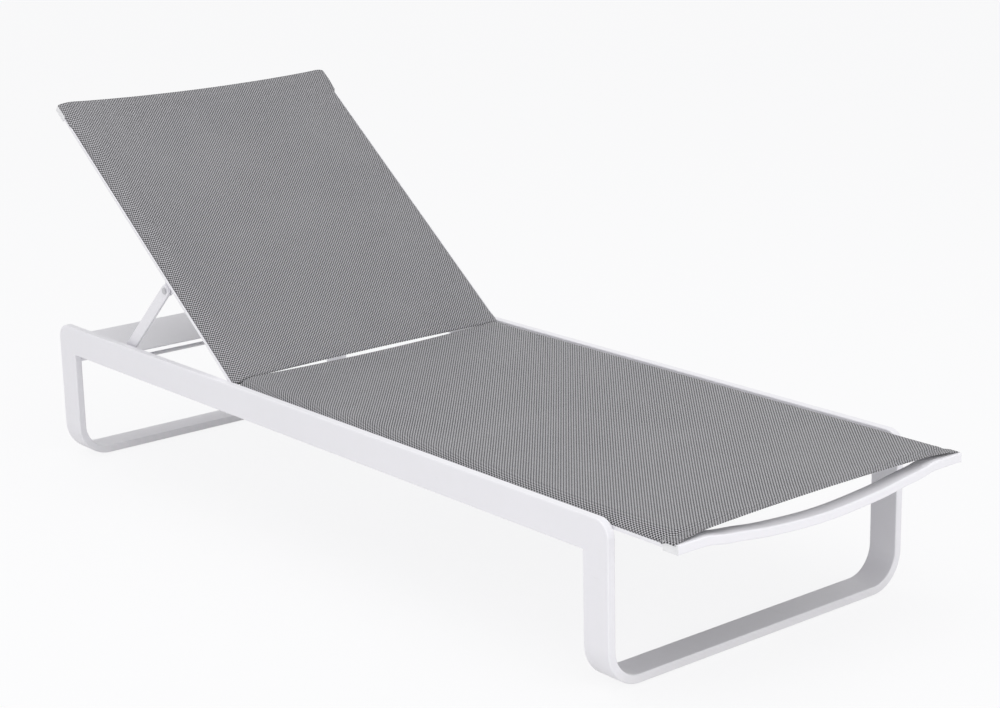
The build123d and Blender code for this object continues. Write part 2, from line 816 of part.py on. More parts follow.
with BuildPart() as prop_strut:
    with BuildSketch(strut_side(strut_outer)):
        with Locations((strut_length / 2, 0)):
            SlotCenterToCenter(strut_length, strut_width)
    extrude(amount=strut_thickness)
    rims = prop_strut.edges().group_by(Axis.Y)
    chamfer(rims[0] + rims[-1], length=strut_edge_chamfer)
    with BuildSketch(strut_side(strut_outer)):
        Circle(pivot_pin_diameter / 2 + pin_clearance)
        with Locations((strut_length, 0)):
            Circle(rod_diameter / 2 + pin_clearance)
    extrude(amount=strut_thickness, mode=Mode.SUBTRACT)
save_pair(prop_strut.part, "prop_strut")

with BuildPart() as prop_rod:
    with BuildSketch(Plane(origin=rod_centre + Vector(0, rod_half, 0), z_dir=(0, -1, 0))):
        Circle(rod_diameter / 2)
    extrude(amount=2 * rod_half)
    chamfer(prop_rod.edges().filter_by(GeomType.CIRCLE), length=strut_edge_chamfer)
save(prop_rod.part, "prop_rod")

pin_inner = web_inner - washer_clearance
pin_outer = strut_outer + washer_clearance
with BuildPart() as pivot_pin:
    with BuildSketch(strut_side(pin_outer)):
        Circle(pivot_pin_diameter / 2)
    extrude(amount=pin_outer - pin_inner)
    with BuildSketch(strut_side(pin_outer + pivot_head_height)):
        Circle(pivot_head_diameter / 2)
    extrude(amount=pivot_head_height)
    with BuildSketch(strut_side(pin_inner)):
        Circle(pivot_head_diameter / 2)
    extrude(amount=pivot_head_height)
save_pair(pivot_pin.part, "pivot_pin")

with BuildPart() as pivot_washer:
    with BuildSketch(strut_side(strut_inner - washer_clearance)):
        Circle(washer_diameter / 2)
        Circle(pivot_pin_diameter / 2 + pin_clearance, mode=Mode.SUBTRACT)
    extrude(amount=washer_thickness)
save_pair(pivot_washer.part, "pivot_washer")

# Racks: notched bars below the rod's way
with BuildPart() as rack:
    with BuildSketch(side_plane(rail_inside)):
        start_x = rear_x + rack_start
        end_x = rear_x + rack_end
        with BuildLine():
            Polyline(
                (start_x, rack_bottom),
                (end_x, rack_bottom),
                (end_x, rack_top + rack_stop_height),
                (end_x - rack_stop_length, rack_top + rack_stop_height),
                (end_x - rack_stop_length, rack_top),
                (start_x + rack_stop_length, rack_top),
                (start_x + rack_stop_length, rack_top + rack_stop_height),
                (start_x, rack_top + rack_stop_height),
                close=True,
            )
        make_face()
        notch_xs = [rod_centre.X + index * notch_spacing for index in notch_offsets]
        with Locations(*[(x, rack_top) for x in notch_xs]):
            Circle(rod_diameter / 2 + notch_clearance, mode=Mode.SUBTRACT)
    extrude(amount=rack_thickness)
    with BuildSketch(side_plane(rail_inside + overrun / 2)):
        with Locations(*[(x, rack_rivet_z) for x in rack_xs]):
            Circle(rack_rivet_diameter / 2 + rivet_clearance)
    extrude(amount=rack_thickness + overrun, mode=Mode.SUBTRACT)
save_pair(rack.part, "rack")

with BuildPart() as rack_rivets:
    for side in (1, -1):
        for x in rack_xs:
            start = (x, side * rack_inner, rack_rivet_z)
            with BuildSketch(Plane(origin=start, z_dir=(0, side, 0))):
                Circle(rack_rivet_diameter / 2)
            extrude(amount=rack_thickness + tube_wall + rack_rivet_reach)
save(rack_rivets.part, "rack_rivets")

# Rear cross plate: a folded sheet with wings screwed to the rails
plate_x = rear_x + plate_start
wing_end = plate_x + plate_wing_length
plate_end = plate_x + plate_length
narrow = rail_inside - plate_wing_setback
with BuildPart() as rear_plate:
    with BuildSketch(Plane.XY.offset(plate_top - plate_sheet)):
        with BuildLine():
            Polyline(
                (plate_x, -rail_inside),
                (wing_end, -rail_inside),
                (wing_end, -narrow),
                (plate_end, -narrow),
                (plate_end, narrow),
                (wing_end, narrow),
                (wing_end, rail_inside),
                (plate_x, rail_inside),
                close=True,
            )
        make_face()
    extrude(amount=plate_sheet)
    with BuildSketch(Plane.XY.offset(crossbar_top)):
        with Locations((plate_x + plate_sheet / 2, 0)):
            Rectangle(plate_sheet, 2 * rail_inside)
    extrude(amount=plate_top - crossbar_top)
    with BuildSketch(Plane.XY.offset(plate_top - plate_end_fold)):
        for side in (1, -1):
            with Locations(
                ((plate_x + wing_end) / 2, side * (rail_inside - plate_sheet / 2))
            ):
                Rectangle(plate_wing_length, plate_sheet)
    extrude(amount=plate_end_fold)
    with BuildSketch(side_plane(rail_inside + overrun)):
        with Locations(*[(x, plate_screw_z) for x in plate_xs]):
            Circle(bolt_diameter / 2 + bolt_clearance)
    extrude(amount=2 * rail_inside + 2 * overrun, mode=Mode.SUBTRACT)
save(rear_plate.part, "rear_plate")

with BuildPart() as plate_screws:
    for side in (1, -1):
        for x in plate_xs:
            start = (x, side * (rail_inside - plate_sheet), plate_screw_z)
            with BuildSketch(Plane(origin=start, z_dir=(0, side, 0))):
                Circle(bolt_diameter / 2)
            extrude(amount=plate_sheet + tube_wall + bolt_reach)
            with BuildSketch(Plane(origin=start, z_dir=(0, -side, 0))):
                Circle(bolt_head_diameter / 2)
            extrude(amount=bolt_head_height)
save(plate_screws.part, "plate_screws")


# Slings: stretched fabric over the crowns of the side tubes
hem_edge_y = sling_outside - hem_edge_inset
cloth_low = tube_high + fabric_clearance
cloth_high = cloth_low + fabric_thickness
hem_end_low = bar_high + fabric_clearance
hem_end_high = hem_end_low + fabric_thickness


def sling_outline():
    """Fabric section: flat between the crests, curved down to its side edges."""
    low = crown_radius + fabric_clearance
    high = low + fabric_thickness
    mid_y = (crest_y + body_y) / 2
    with BuildLine() as outline:
        for radius, crest in ((low, cloth_low), (high, cloth_high)):
            for side in (1, -1):
                ThreePointArc(
                    (side * crest_y, crest),
                    (side * mid_y, crown_level(mid_y, radius)),
                    (side * body_y, crown_level(body_y, radius)),
                )
            Line((-crest_y, crest), (crest_y, crest))
        for side in (1, -1):
            Line((side * body_y, crown_level(body_y, low)), (side * body_y, crown_level(body_y, high)))
    make_face(outline.edges())


def hem_outline():
    """Fabric section over the crossbar: straight from the crests to its ends."""
    with BuildLine() as outline:
        Polyline(
            (-hem_edge_y, hem_end_low),
            (-crest_y, cloth_low),
            (crest_y, cloth_low),
            (hem_edge_y, hem_end_low),
            (hem_edge_y, hem_end_high),
            (crest_y, cloth_high),
            (-crest_y, cloth_high),
            (-hem_edge_y, hem_end_high),
            close=True,
        )
    make_face(outline.edges())


def cut_hem(plane, bow):
    """Cut a hollow hem; the plane's x axis points out of the cloth."""
    with BuildSketch(plane) as outside_hem:
        with BuildLine():
            ThreePointArc((0, -sling_outside), (-bow, 0), (0, sling_outside))
            Polyline(
                (0, sling_outside),
                (overrun, sling_outside),
                (overrun, -sling_outside),
                (0, -sling_outside),
            )
        make_face()
    extrude(outside_hem.sketch, amount=sling_tube_height, both=True, mode=Mode.SUBTRACT)


def sling(main_section, main_length, end_section, end_length):
    """Sling with an end that comes down to the crossbar."""
    with BuildPart() as cloth:
        with BuildSketch(main_section):
            sling_outline()
        extrude(amount=main_length)
        with BuildSketch(end_section):
            hem_outline()
        extrude(amount=end_length)
    return cloth.part


def seat_hem_plane(x, outward):
    return Plane(origin=(x, 0, tube_top_z), x_dir=(outward, 0, 0), z_dir=(0, 0, 1))


def back_hem_plane(reach, outward):
    normal = back_section(0).y_dir
    origin = hinge_point - along * reach + normal * tube_high
    return Plane(origin=origin, x_dir=-along * outward, z_dir=normal)


seat_hem_x = hinge_x + seat_hem_from_hinge
seat_cloth_end = foot_x - hem_setback
with BuildPart() as seat_cloth:
    add(
        sling(
            seat_section(seat_hem_x),
            seat_end_x - seat_hem_x,
            seat_section(seat_end_x),
            seat_cloth_end - seat_end_x,
        )
    )
    cut_hem(seat_hem_plane(seat_cloth_end, 1), hem_bow)
    cut_hem(seat_hem_plane(seat_hem_x, -1), seat_inner_hem_bow)
save(seat_cloth.part, "seat_sling")

back_cloth_top = back_length - hem_setback
with BuildPart() as back_cloth:
    add(
        sling(
            back_section(back_tube_top),
            back_tube_top - back_hem_from_hinge,
            back_section(back_cloth_top),
            back_cloth_top - back_tube_top,
        )
    )
    cut_hem(back_hem_plane(back_cloth_top, 1), back_hem_bow)
    cut_hem(back_hem_plane(back_hem_from_hinge, -1), back_inner_hem_bow)
save(back_cloth.part, "back_sling")

print("total length", total_length, "strut length", round(strut_length, 2))
print("hinge", round(hinge_x, 3), round(hinge_z, 3))
print("pivot", round(pivot.X, 3), round(pivot.Z, 3), "rod", round(rod_centre.X, 3), rod_level)
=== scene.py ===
import json
import math

import bpy
import numpy as np
from mathutils import Matrix, Vector, noise


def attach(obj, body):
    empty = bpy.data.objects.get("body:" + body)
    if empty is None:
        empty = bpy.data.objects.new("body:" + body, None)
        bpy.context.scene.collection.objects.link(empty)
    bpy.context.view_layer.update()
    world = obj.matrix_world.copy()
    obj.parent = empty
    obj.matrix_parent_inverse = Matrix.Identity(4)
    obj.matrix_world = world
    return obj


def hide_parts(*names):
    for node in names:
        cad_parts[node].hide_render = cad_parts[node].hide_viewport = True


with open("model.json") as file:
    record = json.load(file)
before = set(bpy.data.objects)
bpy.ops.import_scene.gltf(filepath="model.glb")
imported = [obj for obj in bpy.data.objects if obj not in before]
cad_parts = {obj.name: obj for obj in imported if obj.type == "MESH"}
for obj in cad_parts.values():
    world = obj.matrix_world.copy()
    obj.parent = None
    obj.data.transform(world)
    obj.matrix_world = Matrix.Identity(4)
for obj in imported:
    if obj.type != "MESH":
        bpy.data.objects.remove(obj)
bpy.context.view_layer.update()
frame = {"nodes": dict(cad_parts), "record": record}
nodes = frame["nodes"]

# Lengths are in millimetres and become metres where a mesh is made.
MM = 0.001
ACROSS = Vector((0, 1, 0))

# Places and sizes of the solids that the pieces below lie on
HINGE = Vector((-287.5, 0.0, 281.0))
BACK_ANGLE = math.radians(37.6)
TUBE_HIGH = 16.6
CREST_Y = 300.0
SLING_OUTSIDE = 335.0
SLING_INSIDE = 290.0
CROWN_RADIUS = 38.0
BAR_HIGH = 7.1
FABRIC_CLEARANCE = 0.3
SPREADER_RADIUS = 8.0
SEAT_SPREADERS = (110.0, 640.0)
BACK_SPREADERS = (110.0,)

# Directions along each sling and away from its upper face
SEAT_AXES = (Vector((1, 0, 0)), Vector((0, 0, 1)))
BACK_AXES = (
    Vector((-math.cos(BACK_ANGLE), 0, math.sin(BACK_ANGLE))),
    Vector((math.sin(BACK_ANGLE), 0, math.cos(BACK_ANGLE))),
)

# Cloth, and its side edges where they bend down into the tubes' grooves
CLOTH = 0.9
EDGE_START_Y = 330.9
EDGE_BEND = 1.2
EDGE_DROP = 2.4

# Cloth where it bends round the end of a crossbar
BAR_BEND = 2.6
BAR_WRAP_Y = 336.5
BAR_WRAP_LOW = 5.2

# Side edges where the cloth leaves the tube for the crossbar
FLARE_OUT = 4.2
FLARE_UP = 3.0
FLARE_RUN = 8.0
FLARE_START_SHARE = 0.955
FLARE_SPAN_SHARE = 0.04

# Hems: the cloth folded back under itself
HEM_WIDTH = 24.0
HEM_RAISE = 1.25
HEM_FADE = 14.0
HEM_SIDE_Y = 250.0
HEM_SIDE_FADE = 50.0
HEM_SIDE_LOSS_SHARE = 0.5
HEM_CORNER_POWER = 10
INNER_HEM_SHARE = 0.965
LAYER_STEP = 1.2

# Stitches along the hems
STITCH_ROWS = (6.0, 17.0)
STITCH_PITCH = 4.2
STITCH_LENGTH = 3.1
STITCH_WIDTH_SHARE = 0.955
STITCH_ROW_SHIFT = 0.25
STITCH_SIDES = 6
STITCH_RINGS = ((-0.5, 0.25), (-0.34, 0.85), (0.0, 1.0), (0.34, 0.85), (0.5, 0.25))
STITCH_SINK = 0.8
THREAD = 0.32
THREAD_LIFT_SHARE = 0.35

# Spacing of the cloth's mesh
COLUMNS = 26
FLAT_SHARE = 0.84
ROW_STEP = 12.0
HEM_ZONE = 50.0
INNER_ROWS = 16
OUTER_ROWS = 18
FOLD_STEPS = 9
FLAT_POINTS = 30
CROWN_POINTS = 40
SLOPE_POINTS = 60
EDGE_POINTS = 12
WRAP_POINTS = 10

# Weld beads round the spreaders' ends
WELD_RADIUS = 1.3
WELD_SIDES = 8
WELD_POINTS = 40
WELD_STAND = 0.5
WELD_INSET = 0.6
WELD_WAVE = 0.22
WELD_WAVE_TURN = 2.1
WELD_LUMPS = 0.12
WELD_LUMP_SCALE = 0.4

# Places of the two colours and the result on a colour mix node
MIX_FIRST = 6
MIX_SECOND = 7
MIX_RESULT = 2


class Shader:
    """A material under construction, with short calls for its nodes."""

    def __init__(self, name):
        self.material = bpy.data.materials.new(name)
        self.material.use_nodes = True
        self.tree = self.material.node_tree
        self.tree.nodes.clear()
        self.output = self.tree.nodes.new("ShaderNodeOutputMaterial")
        self.surface = self.tree.nodes.new("ShaderNodeBsdfPrincipled")
        self.tree.links.new(self.surface.outputs[0], self.output.inputs["Surface"])
        self.coordinates = self.tree.nodes.new("ShaderNodeTexCoord").outputs["Object"]

    def put(self, socket, value):
        """Link a socket to the input, or set the input to a constant."""
        if isinstance(value, bpy.types.NodeSocket):
            self.tree.links.new(value, socket)
        else:
            socket.default_value = value

    def set(self, **values):
        for name, value in values.items():
            self.put(self.surface.inputs[name.replace("_", " ")], value)

    def math(self, operation, *values):
        node = self.tree.nodes.new("ShaderNodeMath")
        node.operation = operation
        for socket, value in zip(node.inputs, values):
            self.put(socket, value)
        return node.outputs[0]

    def stretched(self, factors):
        """The object's coordinates, multiplied axis by axis."""
        node = self.tree.nodes.new("ShaderNodeVectorMath")
        node.operation = "MULTIPLY"
        self.put(node.inputs[0], self.coordinates)
        node.inputs[1].default_value = factors
        return node.outputs[0]

    def noise(self, scale, detail=2.0, roughness=0.5, vector=None):
        node = self.tree.nodes.new("ShaderNodeTexNoise")
        self.put(node.inputs["Vector"], vector or self.coordinates)
        node.inputs["Scale"].default_value = scale
        node.inputs["Detail"].default_value = detail
        node.inputs["Roughness"].default_value = roughness
        return node.outputs["Fac"]

    def span(self, value, start=0.0, end=1.0, low=0.0, high=1.0, smooth=False):
        """Map the range from start to end onto the range from low to high."""
        node = self.tree.nodes.new("ShaderNodeMapRange")
        node.interpolation_type = "SMOOTHSTEP" if smooth else "LINEAR"
        for socket, item in zip(node.inputs, (value, start, end, low, high)):
            self.put(socket, item)
        return node.outputs["Result"]

    def mix(self, factor, first, second):
        node = self.tree.nodes.new("ShaderNodeMix")
        node.data_type = "RGBA"
        self.put(node.inputs[0], factor)
        self.put(node.inputs[MIX_FIRST], first)
        self.put(node.inputs[MIX_SECOND], second)
        return node.outputs[MIX_RESULT]

    def bump(self, height, distance, strength, normal=None):
        node = self.tree.nodes.new("ShaderNodeBump")
        self.put(node.inputs["Height"], height)
        node.inputs["Distance"].default_value = distance
        node.inputs["Strength"].default_value = strength
        if normal is not None:
            self.put(node.inputs["Normal"], normal)
        return node.outputs["Normal"]

    def axis(self, index, vector=None):
        node = self.tree.nodes.new("ShaderNodeSeparateXYZ")
        self.put(node.inputs[0], vector or self.coordinates)
        return node.outputs[index]


def rgb(red, green, blue, factor=1.0):
    """A node's colour, brightened or darkened by the factor."""
    return (red * factor, green * factor, blue * factor, 1.0)


def powder_coat():
    """White coating with soft mottling, faint scuffs, a darker, browner tone towards the floor and a fine
    grain.
    """
    s = Shader("powder_coat_white")
    broad = s.noise(scale=2.3, detail=3.0)
    patches = s.noise(scale=38.0, detail=4.0, roughness=0.6)
    tone = s.mix(
        s.span(broad, start=0.3, end=0.7),
        rgb(red=0.84, green=0.832, blue=0.872),
        rgb(red=0.862, green=0.854, blue=0.894),
    )
    patch_mask = s.span(patches, start=0.45, end=0.8, high=0.25)
    tone = s.mix(patch_mask, tone, rgb(red=0.82, green=0.82, blue=0.842))
    lengthwise = s.stretched(factors=(0.12, 1.0, 1.0))
    scuffs = s.noise(scale=90.0, detail=5.0, roughness=0.7, vector=lengthwise)
    scuff_mask = s.math(
        "MULTIPLY",
        s.span(scuffs, start=0.62, end=0.72),
        s.span(patches, start=0.5, end=0.66),
    )
    scuff_depth = 0.22
    tone = s.mix(
        s.math("MULTIPLY", scuff_mask, scuff_depth), tone, rgb(red=0.64, green=0.64, blue=0.65)
    )
    # Darker and browner below 5 cm above the floor, broken up by noise.
    low_darkening = s.math(
        "MULTIPLY",
        s.span(s.axis(2), end=0.05, low=1.0, high=0.0, smooth=True),
        s.span(s.noise(scale=60.0, detail=4.0), low=0.2, high=0.7),
    )
    low_darkening_depth = 0.35
    tone = s.mix(s.math("MULTIPLY", low_darkening, low_darkening_depth), tone, rgb(red=0.63, green=0.61, blue=0.58))
    relief = s.bump(s.noise(scale=420.0), distance=0.00035, strength=0.22)
    grain = s.noise(scale=1900.0, roughness=0.6)
    sheen = s.noise(scale=140.0, detail=3.0)
    s.set(
        Base_Color=tone,
        Roughness=s.span(sheen, start=0.3, end=0.7, low=0.36, high=0.52),
        Normal=s.bump(grain, distance=0.00012, strength=0.3, normal=relief),
        Metallic=0.0,
        IOR=1.5,
    )
    return s.material


def mesh_fabric():
    """Light warp over dark weft in turn, two strands to a cell, with painted shade between them."""
    light_yarn = (0.56, 0.553, 0.585)
    dark_yarn = (0.03, 0.03, 0.032)
    s = Shader("woven_mesh_grey")
    uv = s.tree.nodes.new("ShaderNodeUVMap")
    uv.uv_map = "weave"
    # A whole number of cells keeps the coordinates above zero.
    cells_before = 1000.0
    across, along = (s.math("ADD", s.axis(k, uv.outputs[0]), cells_before) for k in (0, 1))
    parity = s.math("ADD", s.math("FLOOR", across), s.math("FLOOR", along))
    weft_on_top = s.math("MODULO", parity, 2.0)
    warp_on_top = s.math("SUBTRACT", 1.0, weft_on_top)

    def ridge(value, turns):
        return s.math("ABSOLUTE", s.math("SINE", s.math("MULTIPLY", value, turns)))

    def strand(over, lengthways):
        """Two round strands side by side that rise over the middle of their cell."""
        roundness = 0.55
        rounded = s.math("POWER", ridge(over, 2 * math.pi), roundness)
        return s.math("MULTIPLY", rounded, s.span(ridge(lengthways, math.pi), low=0.3))

    height = s.math(
        "ADD",
        s.math("MULTIPLY", strand(across, along), warp_on_top),
        s.math("MULTIPLY", strand(along, across), weft_on_top),
    )
    flecks = s.noise(scale=700.0)
    fleck_mask = s.span(flecks, start=0.3, end=0.7)
    light = s.mix(fleck_mask, rgb(*light_yarn), rgb(*light_yarn, factor=1.12))
    dark = s.mix(fleck_mask, rgb(*dark_yarn), rgb(*dark_yarn, factor=1.5))
    colour = s.mix(weft_on_top, light, dark)
    # Painted shade: the low ground between the strands is darkened almost to black.
    painted_gap_shade = s.span(height, start=0.12, end=0.62, low=1.0, high=0.0, smooth=True)
    painted_gap_shade_depth = 0.85
    painted_gap_shade_mask = s.math("MULTIPLY", painted_gap_shade, painted_gap_shade_depth)
    colour = s.mix(painted_gap_shade_mask, colour, rgb(red=0.022, green=0.022, blue=0.024))
    wear = s.span(s.noise(scale=6.0, detail=3.0), start=0.35, end=0.7, high=0.1)
    colour = s.mix(wear, colour, rgb(red=0.42, green=0.42, blue=0.43))
    s.set(
        Base_Color=colour,
        Roughness=s.span(flecks, start=0.3, end=0.7, low=0.48, high=0.64),
        Normal=s.bump(height, distance=0.0007, strength=0.9),
        IOR=1.45,
    )
    return s.material


def plain_plastic(name, colour, lighter, rough, grain=900.0, depth=0.00012):
    """Moulded plastic or a plain coating, mottled between two tones, with a fine grain."""
    s = Shader(name)
    mottle = s.noise(scale=45.0, detail=4.0, roughness=0.6)
    sheen = s.noise(scale=160.0, detail=3.0)
    smoother, rougher = 0.07, 0.08
    texture = s.noise(scale=grain, detail=3.0, roughness=0.6)
    s.set(
        Base_Color=s.mix(s.span(mottle, start=0.35, end=0.7), rgb(*colour), rgb(*lighter)),
        Roughness=s.span(sheen, start=0.3, end=0.7, low=rough - smoother, high=rough + rougher),
        Normal=s.bump(texture, distance=depth, strength=0.5),
    )
    return s.material


def bare_metal(name, colour, darker, rough):
    """Plated or plain metal, cloudy, with darker stains."""
    s = Shader(name)
    clouds = s.noise(scale=260.0, detail=4.0, roughness=0.65)
    stains = s.noise(scale=70.0, detail=4.0, roughness=0.6)
    smoother, rougher = 0.1, 0.14
    tone = s.mix(s.span(clouds, start=0.3, end=0.7), rgb(*darker), rgb(*colour))
    stain_mask = s.span(stains, start=0.55, end=0.8, high=0.4)
    tone = s.mix(stain_mask, tone, rgb(*darker, factor=0.6))
    s.set(
        Base_Color=tone,
        Roughness=s.span(clouds, start=0.3, end=0.7, low=rough - smoother, high=rough + rougher),
        Normal=s.bump(clouds, distance=0.00008, strength=0.4),
        Metallic=0.9,
    )
    return s.material


paint = powder_coat()
fabric = mesh_fabric()
thread = plain_plastic(
    "hem_thread", (0.30, 0.30, 0.31), (0.42, 0.42, 0.43), rough=0.7, grain=1600.0, depth=0.0001
)
slot_materials = {
    "frame_paint": paint,
    "mesh_fabric": fabric,
    "edge_cord": plain_plastic(
        "cord_black", (0.035, 0.035, 0.038), (0.06, 0.06, 0.063), rough=0.55
    ),
    "foot_pads": plain_plastic(
        "foot_rubber", (0.03, 0.03, 0.03), (0.065, 0.062, 0.06), rough=0.78, grain=500.0, depth=0.0003
    ),
    "tube_plugs": plain_plastic(
        "plug_black", (0.025, 0.025, 0.028), (0.05, 0.05, 0.053), rough=0.5
    ),
    "bar_plugs": plain_plastic(
        "plug_white", (0.80, 0.80, 0.82), (0.86, 0.86, 0.88), rough=0.48
    ),
    "steel_fasteners": bare_metal(
        "zinc_plated_steel", (0.66, 0.66, 0.68), (0.5, 0.5, 0.52), rough=0.38
    ),
    "rivets": bare_metal(
        "rivet_aluminium", (0.78, 0.78, 0.79), (0.64, 0.64, 0.65), rough=0.42
    ),
    "washers": plain_plastic(
        "washer_nylon", (0.70, 0.70, 0.69), (0.80, 0.80, 0.79), rough=0.5
    ),
    "rod_steel": plain_plastic(
        "rod_coating", (0.74, 0.735, 0.765), (0.82, 0.815, 0.84), rough=0.45, grain=700.0, depth=0.0001
    ),
}
for subpart in frame["record"]["subparts"]:
    solid_mesh = nodes[subpart["node"]].data
    solid_mesh.materials.clear()
    solid_mesh.materials.append(slot_materials[subpart["material_slot"]])


def make_piece(name, points, faces, material, body):
    """A smooth mesh object that rides on a body, from points in millimetres."""
    mesh = bpy.data.meshes.new(name)
    mesh.from_pydata([tuple(Vector(p) * MM) for p in points], [], faces)
    mesh.validate()
    mesh.materials.append(material)
    piece = bpy.data.objects.new(name, mesh)
    bpy.context.scene.collection.objects.link(piece)
    for face in mesh.polygons:
        face.use_smooth = True
    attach(piece, body)
    return piece


def grid_faces(rows, columns, flip):
    faces = []
    for row in range(rows - 1):
        for column in range(columns - 1):
            a = row * columns + column
            quad = (a, a + 1, a + columns + 1, a + columns)
            faces.append(quad if flip else quad[::-1])
    return faces


class Section:
    """Middle line of the cloth across the sling: y, n and normal by arc length."""

    def __init__(self, points):
        self.points = np.array(points)
        steps = np.linalg.norm(np.diff(self.points, axis=0), axis=1)
        self.lengths = np.concatenate([[0.0], np.cumsum(steps)])
        tangents = np.gradient(self.points, self.lengths, axis=0)
        tangents /= np.linalg.norm(tangents, axis=1)[:, None]
        self.normals = np.stack([-tangents[:, 1], tangents[:, 0]], axis=1)

    def at(self, share):
        """Point and normal at a share of the half width."""
        length = np.abs(share) * self.lengths[-1]
        point = [np.interp(length, self.lengths, self.points[:, k]) for k in (0, 1)]
        normal = [np.interp(length, self.lengths, self.normals[:, k]) for k in (0, 1)]
        side = np.sign(share)
        return side * point[0], point[1], side * normal[0], normal[1]


def bend_down(y, n, start, radius, count):
    """Points that turn the cloth from a slope to straight down."""
    return [
        (
            y + radius * (math.sin(a) - math.sin(start)),
            n - radius * (math.cos(start) - math.cos(a)),
        )
        for a in np.linspace(start, math.pi / 2, count)[1:]
    ]


def tube_section():
    """Over the crown, round its edge and down into the cord's groove."""
    radius = CROWN_RADIUS + FABRIC_CLEARANCE + CLOTH / 2
    centre = TUBE_HIGH - CROWN_RADIUS
    start = math.asin((EDGE_START_Y - CREST_Y) / radius)
    arc = [
        (CREST_Y + radius * math.sin(a), centre + radius * math.cos(a))
        for a in np.linspace(0.0, start, CROWN_POINTS)
    ]
    flat = [(y, arc[0][1]) for y in np.linspace(0.0, CREST_Y, FLAT_POINTS)[:-1]]
    bend = bend_down(*arc[-1], start, EDGE_BEND, EDGE_POINTS)
    last_y, last_n = bend[-1]
    drop = [(last_y, last_n - d) for d in np.linspace(0.0, EDGE_DROP, 4)[1:]]
    return Section(flat + arc + bend + drop)


def hem_section(level, fall_y, power):
    """Level over the crossbar, then down to its end and a little way round it."""
    top = BAR_HIGH + FABRIC_CLEARANCE + CLOTH / 2
    flat = [(y, level) for y in np.linspace(0.0, fall_y, FLAT_POINTS)[:-1]]
    bend_y = BAR_WRAP_Y - BAR_BEND
    slope = [
        (fall_y + (bend_y - fall_y) * k, level - (level - top) * k**power)
        for k in np.linspace(0.0, 1.0, SLOPE_POINTS)
    ]
    start = math.atan2(slope[-2][1] - slope[-1][1], slope[-1][0] - slope[-2][0])
    bend = bend_down(bend_y, top, start, BAR_BEND, WRAP_POINTS)
    last_y, last_n = bend[-1]
    drop = [(last_y, n) for n in np.linspace(last_n, BAR_WRAP_LOW, 3)[1:]]
    return Section(flat + slope + bend + drop)


def smooth_step(value):
    value = np.clip(value, 0.0, 1.0)
    return value * value * (3 - 2 * value)


